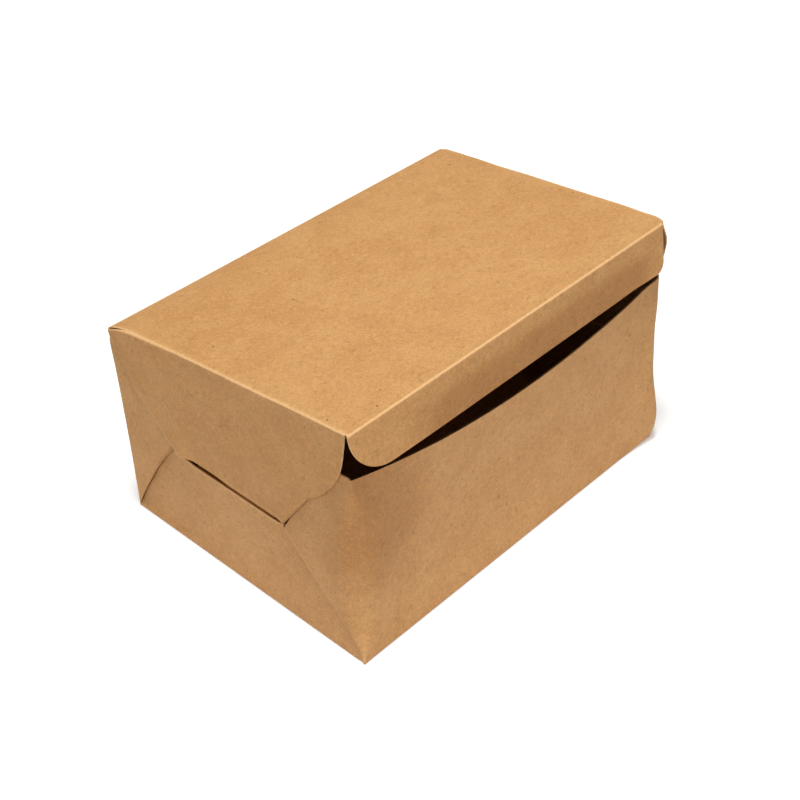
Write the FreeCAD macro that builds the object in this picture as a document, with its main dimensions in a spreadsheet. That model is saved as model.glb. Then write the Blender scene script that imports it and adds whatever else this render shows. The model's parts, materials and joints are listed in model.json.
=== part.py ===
import FreeCAD, Part
import math
import os
import Sketcher

# Folding cake box of thin kraft card: a tray, a lid that turns on the back wall's top edge, and a
# front flap that turns on the lid's front edge.
# X runs along the box, -Y is the front and +Z is up. The origin is the centre of the underside.

doc = FreeCAD.newDocument("cake_box")
sheet = doc.addObject("Spreadsheet::Sheet", "Sizes")


# The driving sizes, in millimetres and degrees.
sizes = {
    "length": "150",  # outside length of the tray
    "width": "105.5",  # outside width of the tray, front to back
    "back_height": "76.2",  # height of the back wall
    "front_height": "75",  # height of the front wall at its corners
    "rim_sag": "10",  # drop of the front wall's curved rim at its middle
    "rim_lean": "4",  # how much lower the rim's right end is than its left end
    "end_height": "37",  # height of the two low end walls
    "card": "0.5",  # thickness of the card
    "slip": "0.3",  # clearance between card layers that slide past each other
    "foot_round": "1",  # radius of the upright front corners at the floor
    "corner_round": "8.5",  # radius of the upright front corners at mid height
    "rim_round": "2.5",  # radius of the upright front corners at the rim
    "back_round": "0.8",  # radius of the upright back corners
    "soft_from": "14",  # height where the front corners reach their full radius
    "soft_to": "48",  # height where they begin to tighten again
    "web_reach": "31",  # reach of the front corner web along the end
    "web_top": "11",  # width of the front corner web at the rim
    "gusset_reach": "24",  # reach of the back corner gusset along the end
    "gusset_top": "16",  # width of the back corner gusset at the top
    "gusset_lap": "2",  # height of the gusset's corner above the end wall
    "lid_slack": "0.5",  # how much deeper the lid panel is than the tray
    "lid_tilt": "7.8",  # angle at which the lid stands open, in degrees
    "hinge_gap": "0.2",  # gap between the back wall's top and the lid
    "cheek_round": "33",  # radius of the curved front edge of a side flap
    "cheek_drop": "31",  # depth below the lid at which that curve ends
    "tip_set": "37",  # distance from the lid's front fold to a side flap's front tip
    "heel_drop": "12",  # straight drop of a side flap's back edge
    "heel_set": "22.5",  # distance from hinge to a side flap's back shoulder
    "tuck_back": "24",  # distance from hinge to the back end of the tuck
    "tuck_front": "43",  # distance from the lid's front fold to the front end of the tuck
    "tongue_drop": "9",  # depth of the tongue below the end wall's top
    "tongue_round": "3",  # corner radius of the tongue
    "tip_round": "1.2",  # radius of a side flap's tips
    "flap_depth": "17",  # depth of the front flap
    "flap_left_round": "14.5",  # radius of the front flap's left corner
    "flap_right_round": "2",  # radius of the front flap's right corner
    "flap_right_set": "3.7",  # how far the front flap's right edge stands in from the lid's edge
    "fold_round": "0.4",  # radius of the lid's folded side edges
}
for row, (name, number) in enumerate(sizes.items(), start=1):
    sheet.set(f"A{row}", number)
    sheet.setAlias(f"A{row}", name)
doc.recompute()


def plane_of(body, role):
    for feature in body.Origin.OriginFeatures:
        if feature.Role == role:
            return feature


def new_body(name):
    body = doc.addObject("PartDesign::Body", name)
    body.Label = name
    return body


def end_near(sketch, edge, point):
    """Which end of an edge lies at a point: 1 for its start, 2 for its end."""
    first = sketch.getPoint(edge, 1).distanceToPoint(point)
    second = sketch.getPoint(edge, 2).distanceToPoint(point)
    return 1 if first < second else 2


def draw(body, name, role, corners, bends=None, offset=None):
    """Closed outline on an origin plane.

    Each corner is (x, y) or (x, y, radius), written as formulas of the sheet's sizes. bends gives the
    radius of an edge that is an arc, by the number of the corner it leaves; it bulges to the right.
    """
    sketch = body.newObject("Sketcher::SketchObject", name)
    sketch.AttachmentSupport = [(plane_of(body, role), "")]
    sketch.MapMode = "FlatFace"
    if offset:
        sketch.setExpression("AttachmentOffset.Base.z", offset)
    bends = bends or {}
    count = len(corners)
    number = sketch.evalExpression
    spots = [FreeCAD.Vector(number(corner[0]), number(corner[1]), 0) for corner in corners]
    rounds = [number(corner[2]) if len(corner) > 2 else 0 for corner in corners]

    def trimmed(here, to):
        """Where the edge towards another corner leaves this corner's round."""
        way = (spots[to] - spots[here]).normalize()
        if not rounds[here]:
            return spots[here]
        other = (here + 1) % count if to == (here - 1) % count else (here - 1) % count
        half = way.getAngle((spots[other] - spots[here]).normalize()) / 2
        return spots[here] + way * (rounds[here] / math.tan(half))

    edges = []
    for here in range(count):
        to = (here + 1) % count
        start = trimmed(here, to)
        stop = trimmed(to, here)
        if here in bends:
            radius = number(bends[here])
            chord = stop - start
            side = FreeCAD.Vector(chord.y, -chord.x, 0).normalize()
            sag = radius - math.sqrt(radius ** 2 - chord.Length ** 2 / 4)
            edge = Part.Arc(start, (start + stop) / 2 + side * sag, stop)
        else:
            edge = Part.LineSegment(start, stop)
        edges.append((sketch.addGeometry(edge, False), start, stop))

    rules = []

    def rule(formula, *terms):
        rules.append((formula, Sketcher.Constraint(*terms)))

    for here in range(count):
        before, _, arrive = edges[here - 1]
        after, leave, _ = edges[here]
        into = end_near(sketch, before, arrive)
        out = end_near(sketch, after, leave)
        x, y = corners[here][:2]
        if rounds[here]:
            middle = spots[here]
            inward = ((arrive - middle) + (leave - middle)).normalize()
            reach = math.hypot(rounds[here], arrive.distanceToPoint(middle)) - rounds[here]
            arc = sketch.addGeometry(Part.Arc(arrive, middle + inward * reach, leave), False)
            point = sketch.addGeometry(Part.Point(middle), True)
            rule(None, "Tangent", before, into, arc, end_near(sketch, arc, arrive))
            rule(None, "Tangent", after, out, arc, end_near(sketch, arc, leave))
            rule(None, "PointOnObject", point, 1, before)
            rule(None, "PointOnObject", point, 1, after)
            rule(corners[here][2], "Radius", arc, rounds[here])
            after, out = point, 1
        else:
            rule(None, "Coincident", before, into, after, out)
        rule(x, "DistanceX", -1, 1, after, out, spots[here].x)
        rule(y, "DistanceY", -1, 1, after, out, spots[here].y)
        if here in bends:
            rule(bends[here], "Radius", edges[here][0], number(bends[here]))
    sketch.addConstraint([constraint for _, constraint in rules])
    for index, (formula, _) in enumerate(rules):
        if formula:
            sketch.setExpression(f"Constraints[{index}]", formula)
    return sketch


def pad(body, name, profile, thickness, reverse=False):
    feature = body.newObject("PartDesign::Pad", name)
    feature.Profile = profile
    feature.setExpression("Length", thickness)
    feature.Reversed = reverse
    return feature


def loft(body, kind, name, sections):
    feature = body.newObject(kind, name)
    feature.Profile = sections[0]
    feature.Sections = sections[1:]
    feature.Ruled = True
    return feature


def cut(body, name, profile, depth=None, reverse=False):
    """Pocket to a depth, or through everything both ways; it has to remove card."""
    doc.recompute()
    before = body.Shape.Volume
    feature = body.newObject("PartDesign::Pocket", name)
    feature.Profile = profile
    if depth:
        feature.setExpression("Length", depth)
    else:
        feature.Type = 1
        feature.Midplane = True
    feature.Reversed = reverse
    doc.recompute()
    if body.Shape.Volume > before - 0.01:
        raise RuntimeError(f"{name} removes nothing")
    return feature


def mirrored(body, name, features):
    """The same features at the other end of the box."""
    feature = body.newObject("PartDesign::Mirrored", name)
    feature.Originals = features
    feature.MirrorPlane = (plane_of(body, "YZ_Plane"), [""])
    body.Tip = feature
    return feature


# Formulas that several pieces share.
CARD = "Sizes.card"
FRONT = "-Sizes.width / 2"
BACK = "Sizes.width / 2"
END = "Sizes.length / 2"
TOP = "Sizes.back_height"
HINGE_HEIGHT = "Sizes.back_height + Sizes.hinge_gap"
LID_DEPTH = "(Sizes.width + Sizes.lid_slack)"
LID_HALF = f"{END} + Sizes.slip + Sizes.card"

# Tray: an open box whose two upright front corners are soft folds, tight at the floor and at the rim.
tray = new_body("tray")


def tray_section(name, level, radius, inset):
    """The tray's outline at one level, or the inside of its card where inset is the card's thickness."""
    half, front, back = (f"{END} - {inset}", f"{FRONT} + {inset}", f"{BACK} - {inset}")
    soft = f"{radius} - {inset}"
    tight = f"Sizes.back_round - {inset}"
    corners = [(f"-({half})", front, soft), (half, front, soft), (half, back, tight)]
    corners.append((f"-({half})", back, tight))
    return draw(tray, name, "XY_Plane", corners, offset=level)


def tray_walls(kind, name, foot, inset):
    levels = [(foot, "Sizes.foot_round"), ("Sizes.soft_from", "Sizes.corner_round")]
    levels += [("Sizes.soft_to", "Sizes.corner_round"), (TOP, "Sizes.rim_round")]
    sections = []
    for number, (level, radius) in enumerate(levels):
        sections.append(tray_section(f"{name}Section{number}", level, radius, inset))
    return loft(tray, kind, name, sections)


tray_walls("PartDesign::AdditiveLoft", "Outside", "0", "0")
tray_walls("PartDesign::SubtractiveLoft", "Inside", CARD, CARD)

# The front wall's rim is one long shallow curve between its two corners.
RIM_RIGHT = "Sizes.front_height - Sizes.rim_lean"
RIM_CHORD = "(Sizes.length ^ 2 + Sizes.rim_lean ^ 2)"
rim = draw(
    tray,
    "RimLine",
    "XZ_Plane",
    [
        (f"-({END} + Sizes.card)", f"{TOP} + Sizes.card"),
        (f"-({END} + Sizes.card)", "Sizes.front_height"),
        (f"-{END}", "Sizes.front_height"),
        (END, RIM_RIGHT),
        (f"{END} + Sizes.card", RIM_RIGHT),
        (f"{END} + Sizes.card", f"{TOP} + Sizes.card"),
    ],
    bends={2: f"({RIM_CHORD} / 4 + Sizes.rim_sag ^ 2) / (2 * Sizes.rim_sag)"},
    offset="Sizes.width / 2 + Sizes.card",
)
cut(tray, "Rim", rim, "Sizes.web_top + 2 * Sizes.card")

# At each end the outer layer is only the front corner web and the back corner gusset.
opening = draw(
    tray,
    "EndOpening",
    "YZ_Plane",
    [
        (f"{FRONT} + Sizes.card + Sizes.slip", CARD),
        (f"{BACK} - Sizes.card - Sizes.slip", CARD),
        (f"{BACK} - Sizes.gusset_reach", "Sizes.end_height + Sizes.gusset_lap"),
        (f"{BACK} - Sizes.gusset_top", f"{TOP} + Sizes.card"),
        (f"{FRONT} + Sizes.web_top", f"{TOP} + Sizes.card"),
        (f"{FRONT} + Sizes.web_reach", "Sizes.end_height - Sizes.card"),
    ],
)
cut(tray, "EndOpenings", opening)

# The low end walls stand inside the webs and gussets.
wall = draw(
    tray,
    "EndWallLine",
    "YZ_Plane",
    [
        (f"{FRONT} + Sizes.card + Sizes.slip", "Sizes.card / 2"),
        (f"{BACK} - Sizes.card / 2", "Sizes.card / 2"),
        (f"{BACK} - Sizes.card / 2", "Sizes.end_height"),
        (f"{FRONT} + Sizes.corner_round", "Sizes.end_height"),
        (f"{FRONT} + Sizes.corner_round", "Sizes.soft_from"),
    ],
    offset=f"Sizes.card - {END}",
)
end_wall = pad(tray, "EndWall", wall, CARD)
mirrored(tray, "EndWalls", [end_wall])

# Lid: drawn level with its hinge line at the origin, then tilted open about that line.
lid = new_body("lid")
LID_FRONT = f"-{LID_DEPTH}"
TUCK_FRONT = f"({LID_DEPTH} - Sizes.tuck_front)"
TIP = f"({LID_DEPTH} - Sizes.tip_set)"
TONGUE_FACE = f"2 * Sizes.card + Sizes.slip - ({END})"


def shoulder(distance, lift="0"):
    """Height in the lid's frame of a line that rests on the end wall's top, at a distance from the hinge."""
    drop = f"{HINGE_HEIGHT} - Sizes.end_height - Sizes.slip + ({distance}) * sin(Sizes.lid_tilt)"
    return f"({lift}) - ({drop}) / cos(Sizes.lid_tilt)"


panel = draw(
    lid,
    "PanelLine",
    "XY_Plane",
    [(f"-({LID_HALF})", LID_FRONT), (LID_HALF, LID_FRONT), (LID_HALF, "0"), (f"-({LID_HALF})", "0")],
)
pad(lid, "Panel", panel, CARD)

# Side flap: a curved front edge, two tips that rest on the end wall, and a tuck between them.
TUCK_TOP = "10.4 * Sizes.card"
CHEEK_CURVE = "sqrt(Sizes.cheek_round ^ 2 - Sizes.cheek_drop ^ 2)"
CHEEK_END = f"{LID_DEPTH} - Sizes.cheek_round + {CHEEK_CURVE}"
flap = draw(
    lid,
    "SideFlapLine",
    "YZ_Plane",
    [
        ("0", CARD),
        (LID_FRONT, CARD),
        (LID_FRONT, "0"),
        (f"-({CHEEK_END})", "-Sizes.cheek_drop"),
        (f"-{TIP}", shoulder(TIP), "Sizes.tip_round"),
        (f"-{TUCK_FRONT}", shoulder(TUCK_FRONT)),
        (f"-{TUCK_FRONT}", shoulder(TUCK_FRONT, TUCK_TOP)),
        ("-Sizes.tuck_back", shoulder("Sizes.tuck_back", TUCK_TOP)),
        ("-Sizes.tuck_back", shoulder("Sizes.tuck_back")),
        ("-Sizes.heel_set", shoulder("Sizes.heel_set")),
        ("0", "-Sizes.heel_drop"),
    ],
    bends={2: "Sizes.cheek_round"},
    offset=f"-({LID_HALF})",
)
side_flap = pad(lid, "SideFlap", flap, CARD)


def tuck_strip(name, upper, lower, offset):
    """Section of the sloping strip that carries the flap's middle over the end wall's top edge."""
    back, front = ("Sizes.tuck_back", TUCK_FRONT)
    corners = [(f"-{back}", shoulder(back, upper)), (f"-{front}", shoulder(front, upper))]
    corners += [(f"-{front}", shoulder(front, lower)), (f"-{back}", shoulder(back, lower))]
    return draw(lid, name, "YZ_Plane", corners, offset=offset)


jog = loft(
    lid,
    "PartDesign::AdditiveLoft",
    "Tuck",
    [
        tuck_strip("TuckOuter", "13 * Sizes.card", TUCK_TOP, f"-({END} + Sizes.slip)"),
        tuck_strip("TuckInner", "3.6 * Sizes.card", "Sizes.card", TONGUE_FACE),
    ],
)
tongue_line = draw(
    lid,
    "TongueLine",
    "YZ_Plane",
    [
        ("-Sizes.tuck_back", shoulder("Sizes.tuck_back", "3.6 * Sizes.card")),
        (f"-{TUCK_FRONT}", shoulder(TUCK_FRONT, "3.6 * Sizes.card")),
        (f"-{TUCK_FRONT}", shoulder(TUCK_FRONT, "-Sizes.tongue_drop"), "Sizes.tongue_round"),
        ("-Sizes.tuck_back", shoulder("Sizes.tuck_back", "-Sizes.tongue_drop"), "Sizes.tongue_round"),
    ],
    offset=TONGUE_FACE,
)
tongue = pad(lid, "Tongue", tongue_line, CARD)
side_flaps = mirrored(lid, "SideFlaps", [side_flap, jog, tongue])

# The card is slightly rounded along the outside of the two side folds.
doc.recompute()
folds = []
for index, edge in enumerate(side_flaps.Shape.Edges, start=1):
    box = edge.BoundBox
    along = box.YLength > sheet.width / 2
    outermost = box.XLength < 0.001 and abs(box.XMin) > side_flaps.Shape.BoundBox.XMax - 0.001
    if along and outermost and box.ZMin > sheet.card - 0.001:
        folds.append(f"Edge{index}")
if len(folds) != 2:
    raise RuntimeError(f"the lid has {len(folds)} side folds")
fold_rounds = lid.newObject("PartDesign::Fillet", "FoldRounds")
fold_rounds.Base = (side_flaps, folds)
fold_rounds.setExpression("Radius", "Sizes.fold_round")
lid.Tip = fold_rounds
lid.setExpression("Placement.Base.y", BACK)
lid.setExpression("Placement.Base.z", HINGE_HEIGHT)
lid.setExpression("Placement.Rotation.Yaw", "0")
lid.setExpression("Placement.Rotation.Pitch", "0")
lid.setExpression("Placement.Rotation.Roll", "-Sizes.lid_tilt")

# Front flap: hangs square to the lid from its front fold, with one well rounded corner.
front_flap = new_body("front_flap")
front_line = draw(
    front_flap,
    "FrontFlapLine",
    "XZ_Plane",
    [
        (f"-({LID_HALF})", "-Sizes.card / 10"),
        (f"-({LID_HALF})", "-Sizes.flap_depth", "Sizes.flap_left_round"),
        (f"{LID_HALF} - Sizes.flap_right_set", "-Sizes.flap_depth", "Sizes.flap_right_round"),
        (f"{LID_HALF} - Sizes.flap_right_set", "-Sizes.card / 10"),
    ],
)
pad(front_flap, "FrontFlap", front_line, CARD)
front_flap.setExpression("Placement.Base.y", f"{BACK} - {LID_DEPTH} * cos(Sizes.lid_tilt)")
front_flap.setExpression("Placement.Base.z", f"{HINGE_HEIGHT} + {LID_DEPTH} * sin(Sizes.lid_tilt)")
front_flap.setExpression("Placement.Rotation.Roll", "-Sizes.lid_tilt")

doc.recompute()

for item in doc.Objects:
    if "Invalid" in item.State or "Error" in item.State:
        raise RuntimeError(f"{item.Label}: {item.State}")

os.makedirs("parts", exist_ok=True)
for body in (tray, lid, front_flap):
    shape = body.Shape
    if shape.isNull() or not shape.isValid() or len(shape.Solids) != 1:
        raise RuntimeError(f"{body.Label} is not one sound solid")
    shape.exportStep(f"parts/{body.Label}.step")
    box = shape.BoundBox
    print(body.Label, round(shape.Volume, 2), [round(v, 2) for v in (box.XMin, box.YMin, box.ZMin)],
          [round(v, 2) for v in (box.XMax, box.YMax, box.ZMax)])
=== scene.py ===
import json
import math

import bmesh
import bpy
from mathutils import Matrix, Vector


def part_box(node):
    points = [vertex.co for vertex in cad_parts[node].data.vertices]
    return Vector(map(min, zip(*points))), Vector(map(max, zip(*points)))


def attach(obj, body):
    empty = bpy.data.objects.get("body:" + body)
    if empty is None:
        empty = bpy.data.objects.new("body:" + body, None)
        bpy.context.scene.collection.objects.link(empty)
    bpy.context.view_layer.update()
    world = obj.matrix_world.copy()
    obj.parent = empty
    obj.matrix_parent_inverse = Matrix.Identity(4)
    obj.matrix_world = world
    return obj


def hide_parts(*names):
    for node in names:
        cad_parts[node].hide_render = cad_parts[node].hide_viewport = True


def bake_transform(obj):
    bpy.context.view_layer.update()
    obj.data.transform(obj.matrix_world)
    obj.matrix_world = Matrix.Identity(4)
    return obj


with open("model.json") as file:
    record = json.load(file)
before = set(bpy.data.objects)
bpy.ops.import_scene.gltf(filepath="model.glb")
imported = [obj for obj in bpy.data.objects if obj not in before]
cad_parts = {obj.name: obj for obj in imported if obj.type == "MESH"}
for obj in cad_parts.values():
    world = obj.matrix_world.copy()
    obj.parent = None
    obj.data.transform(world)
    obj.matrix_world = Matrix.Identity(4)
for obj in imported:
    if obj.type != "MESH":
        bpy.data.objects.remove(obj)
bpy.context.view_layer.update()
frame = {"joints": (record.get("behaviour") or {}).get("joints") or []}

# Lengths below are in millimetres; points become metres only when a piece's mesh is made.
MM = 0.001
CARD = 0.5
tray_low, tray_high = (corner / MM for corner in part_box("tray"))
LENGTH, WIDTH, BACK_TOP = tray_high.x - tray_low.x, tray_high.y - tray_low.y, tray_high.z
LEFT, RIGHT, FRONT, BACK = tray_low.x, tray_high.x, tray_low.y, tray_high.y
WALL_TOP = BACK_TOP - 0.9  # here the back wall ends and the fold to the lid begins
END_TOP = 37.0  # top edge of the two low end walls
LID_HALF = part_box("lid")[1].x / MM
FLAP_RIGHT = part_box("front_flap")[1].x / MM
hinges = {joint["name"]: Vector(joint["pos_m"]) / MM for joint in frame["joints"]}
LID_HINGE, FLAP_HINGE = hinges["lid_hinge"], hinges["front_flap_hinge"]
hinge_to_flap = FLAP_HINGE - LID_HINGE
LID_DEPTH, TILT = hinge_to_flap.length, math.atan2(hinge_to_flap.z, -hinge_to_flap.y)


def held(value):
    """The value, held between 0 and 1."""
    return min(1.0, max(0.0, value))


def eased(value, low, high):
    """0 below low, 1 above high, and smooth between."""
    part = held((value - low) / (high - low))
    return part * part * (3 - 2 * part)


def hump(value):
    """1 at a half, falling smoothly to 0 at 0 and at 1, and 0 beyond."""
    return math.sin(math.pi * held(value))


def drawn_in(part):
    """How far a quarter circle of radius 1 has curved away from its tangent, 0..1 along that."""
    return 1 - math.sqrt(1 - held(part) ** 2)


def curve_at(place, stops):
    """Value at a place of the smooth curve through (place, value) stops."""
    if place <= stops[0][0]:
        return stops[0][1]
    if place >= stops[-1][0]:
        return stops[-1][1]
    index = max(i for i, stop in enumerate(stops) if stop[0] <= place)
    index = min(index, len(stops) - 2)
    (x0, y0), (x1, y1) = stops[index], stops[index + 1]

    def slope(i):
        if i == 0 or i == len(stops) - 1:
            return 0.0 if i else (stops[1][1] - stops[0][1]) / (stops[1][0] - stops[0][0])
        left = (stops[i][1] - stops[i - 1][1]) / (stops[i][0] - stops[i - 1][0])
        right = (stops[i + 1][1] - stops[i][1]) / (stops[i + 1][0] - stops[i][0])
        return 0.0 if left * right <= 0 else 2 * left * right / (left + right)

    span = x1 - x0
    t = (place - x0) / span
    near, far = slope(index) * span, slope(index + 1) * span
    return (
        y0 * (2 * t**3 - 3 * t**2 + 1) + near * (t**3 - 2 * t**2 + t)
        + y1 * (3 * t**2 - 2 * t**3) + far * (t**3 - t**2)
    )


def straight(place, stops):
    """Value at a place of the straight runs between (place, value) stops."""
    for (x0, y0), (x1, y1) in zip(stops, stops[1:]):
        if place <= x1:
            return y0 + (y1 - y0) * max(0.0, (place - x0)) / (x1 - x0)
    return stops[-1][1]


def steps(start, stop, count):
    """Evenly spaced values from start to stop, both included."""
    return [start + (stop - start) * i / count for i in range(count + 1)]


# A box that has been folded by hand stands a little out of square. Each corner, named by right or
# not, back or not and top or not, has its own shift along x, y and z.
CORNER_SHIFTS = {
    (0, 0, 0): (0.5, -2.35, 0.0), (1, 0, 0): (-0.11, -0.65, 0.0),
    (0, 1, 0): (-0.15, 0.91, 0.0), (1, 1, 0): (0.0, 0.0, 0.0),
    (0, 0, 1): (-0.12, 0.28, 0.14), (1, 0, 1): (-1.08, 1.78, 0.10),
    (0, 1, 1): (-0.73, 0.31, -0.21), (1, 1, 1): (1.09, -1.22, -0.03),
}


def settle(point):
    """A point of the square box, moved to where it is on the box as it stands."""
    part = held((point.x - LEFT) / LENGTH), held((point.y - FRONT) / WIDTH), held(point.z / BACK_TOP)
    moved = Vector(point)
    for corner, shift in CORNER_SHIFTS.items():
        share = 1.0
        for side, here in zip(corner, part):
            share *= here if side else 1 - here
        moved += Vector(shift) * share
    return moved


class Card:
    """The outer face of one folded piece of card, gathered patch by patch, then given its thickness."""

    SAME_POINT = 0.001 * MM  # points of a row closer than this make no edge of their own
    WELD = 0.02 * MM  # points of two patches closer than this become one
    SHARP = math.radians(40)  # edges that turn more than this stay crisp

    def __init__(self, name):
        self.name = name
        self.mesh = bmesh.new()
        # Each point's wear: above 0 pale, as rubbing and painted highlight; below 0 darker, as painted
        # shade.
        self.wear_and_painted_light = self.mesh.verts.layers.float.new("wear_and_painted_light")

    def patch(self, rows, inside, wear_and_painted_light=None):
        """Rows of points that face away from the point inside.

        wear is how pale each point is above 0, as rubbing and as painted highlight, and how much darker it
        is below 0, as painted shade.
        """
        verts = []
        for r, row in enumerate(rows):
            verts.append([])
            for c, point in enumerate(row):
                vert = self.mesh.verts.new(settle(point) * MM)
                vert[self.wear_and_painted_light] = wear_and_painted_light[r][c] if wear_and_painted_light else 0.0
                verts[-1].append(vert)
        middle = rows[len(rows) // 2]
        spot = middle[len(middle) // 2]
        below = rows[len(rows) // 2 - 1][len(middle) // 2]
        beside = middle[len(middle) // 2 - 1]
        facing = (beside - spot).cross(below - spot).dot(spot - Vector(inside)) > 0
        for r in range(len(rows) - 1):
            for c in range(len(rows[r]) - 1):
                loop = [verts[r][c], verts[r][c + 1], verts[r + 1][c + 1], verts[r + 1][c]]
                loop = [v for i, v in enumerate(loop) if (v.co - loop[i - 1].co).length > self.SAME_POINT]
                if len(loop) > 2:
                    self.mesh.faces.new(loop if facing else loop[::-1])

    def finish(self, materials):
        """The finished piece, as thick as card, its materials being outside, cut edge and inside."""
        bmesh.ops.remove_doubles(self.mesh, verts=self.mesh.verts, dist=self.WELD)
        data = bpy.data.meshes.new(self.name)
        self.mesh.to_mesh(data)
        self.mesh.free()
        piece = bpy.data.objects.new(self.name, data)
        bpy.context.scene.collection.objects.link(piece)
        for material in materials:
            data.materials.append(material)
        thick = piece.modifiers.new("card", "SOLIDIFY")
        thick.thickness = CARD * MM
        thick.offset = -1
        thick.use_quality_normals = True
        thick.material_offset_rim = 1  # the cut edge's place among the materials
        thick.material_offset = 2  # and the inside's
        bpy.context.view_layer.update()
        shown = bpy.context.evaluated_depsgraph_get()
        solid = bpy.data.meshes.new_from_object(piece.evaluated_get(shown))
        piece.modifiers.clear()
        piece.data = solid
        solid.name = self.name
        for face in solid.polygons:
            face.use_smooth = True
        solid.set_sharp_from_angle(angle=self.SHARP)
        return piece


# ---------------------------------------------------------------- materials


def group_with(name, inputs, outputs):
    """A node group with its sockets: inputs are (name, kind, default) and outputs are (name, kind)."""
    group = bpy.data.node_groups.new(name, "ShaderNodeTree")
    for label, kind, default in inputs:
        socket = group.interface.new_socket(name=label, in_out="INPUT", socket_type=kind)
        socket.default_value = default
    for label, kind in outputs:
        group.interface.new_socket(name=label, in_out="OUTPUT", socket_type=kind)
    entry = group.nodes.new("NodeGroupInput")
    leave = group.nodes.new("NodeGroupOutput")
    return group, entry, leave


def add(tree, kind, settings=None, links=None):
    """A node with its settings, and its inputs given as values or as other nodes' outputs."""
    node = tree.nodes.new(kind)
    for key, value in (settings or {}).items():
        setattr(node, key, value)
    for key, value in (links or {}).items():
        if isinstance(value, bpy.types.NodeSocket):
            tree.links.new(value, node.inputs[key])
        else:
            node.inputs[key].default_value = value
    return node


def math_node(tree, operation, first, second=None, clamp=False):
    """Output of a maths node on one or two values."""
    links = {0: first}
    if second is not None:
        links[1] = second
    return add(tree, "ShaderNodeMath", {"operation": operation, "use_clamp": clamp}, links).outputs[0]


def noise(tree, place, scale, detail=2.0, rough=0.5, distortion=0.0):
    """Output of a noise field, about 0.5 in its middle."""
    node = add(
        tree, "ShaderNodeTexNoise", None,
        {"Vector": place, "Scale": scale, "Detail": detail, "Roughness": rough, "Distortion": distortion},
    )
    return node.outputs["Fac"]


def band(tree, value, low, high, to_low=0.0, to_high=1.0):
    """Maps low..high to to_low..to_high, smoothly and clamped."""
    node = add(
        tree, "ShaderNodeMapRange", {"interpolation_type": "SMOOTHSTEP"},
        {"Value": value, "From Min": low, "From Max": high, "To Min": to_low, "To Max": to_high},
    )
    return node.outputs["Result"]


def make_pulp_group():
    """Cloudy tone, short streaks, curled fibres, fine grain and sparse dark flecks of unbleached pulp."""
    group, entry, leave = group_with(
        "Kraft pulp",
        [
            ("Place", "NodeSocketVector", (0, 0, 0)), ("Cloud size", "NodeSocketFloat", 70.0),
            ("Fibre size", "NodeSocketFloat", 900.0), ("Fleck size", "NodeSocketFloat", 170.0),
        ],
        [
            (name, "NodeSocketFloat")
            for name in ("Clouds", "Streaks", "Dark fibres", "Pale fibres", "Flecks", "Grain")
        ],
    )
    place = entry.outputs["Place"]
    fibre_size = entry.outputs["Fibre size"]
    clouds = noise(group, place, entry.outputs["Cloud size"], 5.0, 0.62)
    group.links.new(clouds, leave.inputs["Clouds"])
    streaks = noise(group, place, math_node(group, "MULTIPLY", fibre_size, 1.3), 3.0, 0.65)
    group.links.new(streaks, leave.inputs["Streaks"])

    def fibres(shift, thin, cover):
        """Thin lines where a noise field crosses its middle, kept only in scattered short lengths."""
        moved = add(group, "ShaderNodeVectorMath", {"operation": "ADD"}, {0: place, 1: shift}).outputs[0]
        field = noise(group, moved, fibre_size, 1.0, 0.4, 0.5)
        ridge = math_node(group, "ABSOLUTE", math_node(group, "SUBTRACT", field, 0.5))
        line = band(group, ridge, 0.0, thin, 1.0, 0.0)
        spread = noise(group, moved, math_node(group, "MULTIPLY", fibre_size, 0.7), 0.0)
        return math_node(group, "MULTIPLY", line, band(group, spread, cover, cover + 0.08))

    group.links.new(fibres((0.31, 0.17, 0.05), 0.07, 0.60), leave.inputs["Dark fibres"])
    group.links.new(fibres((0.71, 0.43, 0.29), 0.07, 0.57), leave.inputs["Pale fibres"])
    # Each cell of this field draws its own size of fleck, and most draw none.
    cells = add(
        group, "ShaderNodeTexVoronoi", {"feature": "F1"},
        {"Vector": place, "Scale": entry.outputs["Fleck size"], "Randomness": 1.0},
    )
    lot = add(group, "ShaderNodeSeparateColor", None, {0: cells.outputs["Color"]})
    size = math_node(group, "MULTIPLY", band(group, lot.outputs["Red"], 0.72, 0.95), 0.07)
    dot = math_node(group, "SUBTRACT", size, cells.outputs["Distance"])
    group.links.new(band(group, dot, 0.0, 0.02), leave.inputs["Flecks"])
    grain = noise(group, place, math_node(group, "MULTIPLY", fibre_size, 2.6), 2.0, 0.6)
    group.links.new(grain, leave.inputs["Grain"])
    return group


def make_rub_and_highlight_group():
    """Pale scuffing and painted highlights along folds and cut edges, broken up by the pulp."""
    group, entry, leave = group_with(
        "Rubbed folds",
        [
            ("Place", "NodeSocketVector", (0, 0, 0)), ("Wear and painted light", "NodeSocketFloat", 0.0),
            ("Break up", "NodeSocketFloat", 0.5), ("Amount", "NodeSocketFloat", 1.0),
        ],
        [("Rubbed", "NodeSocketFloat")],
    )
    speckle = noise(group, entry.outputs["Place"], 700.0, 3.0, 0.6)
    uneven = math_node(group, "SUBTRACT", 0.5, speckle)
    dip = math_node(group, "MULTIPLY", uneven, entry.outputs["Break up"])
    rub_and_highlight_level = math_node(group, "SUBTRACT", entry.outputs["Wear and painted light"], dip)
    share = math_node(group, "MULTIPLY", band(group, rub_and_highlight_level, 0.12, 0.95), entry.outputs["Amount"], True)
    group.links.new(share, leave.inputs["Rubbed"])
    return group


PULP = make_pulp_group()
RUB_AND_HIGHLIGHT = make_rub_and_highlight_group()


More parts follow.
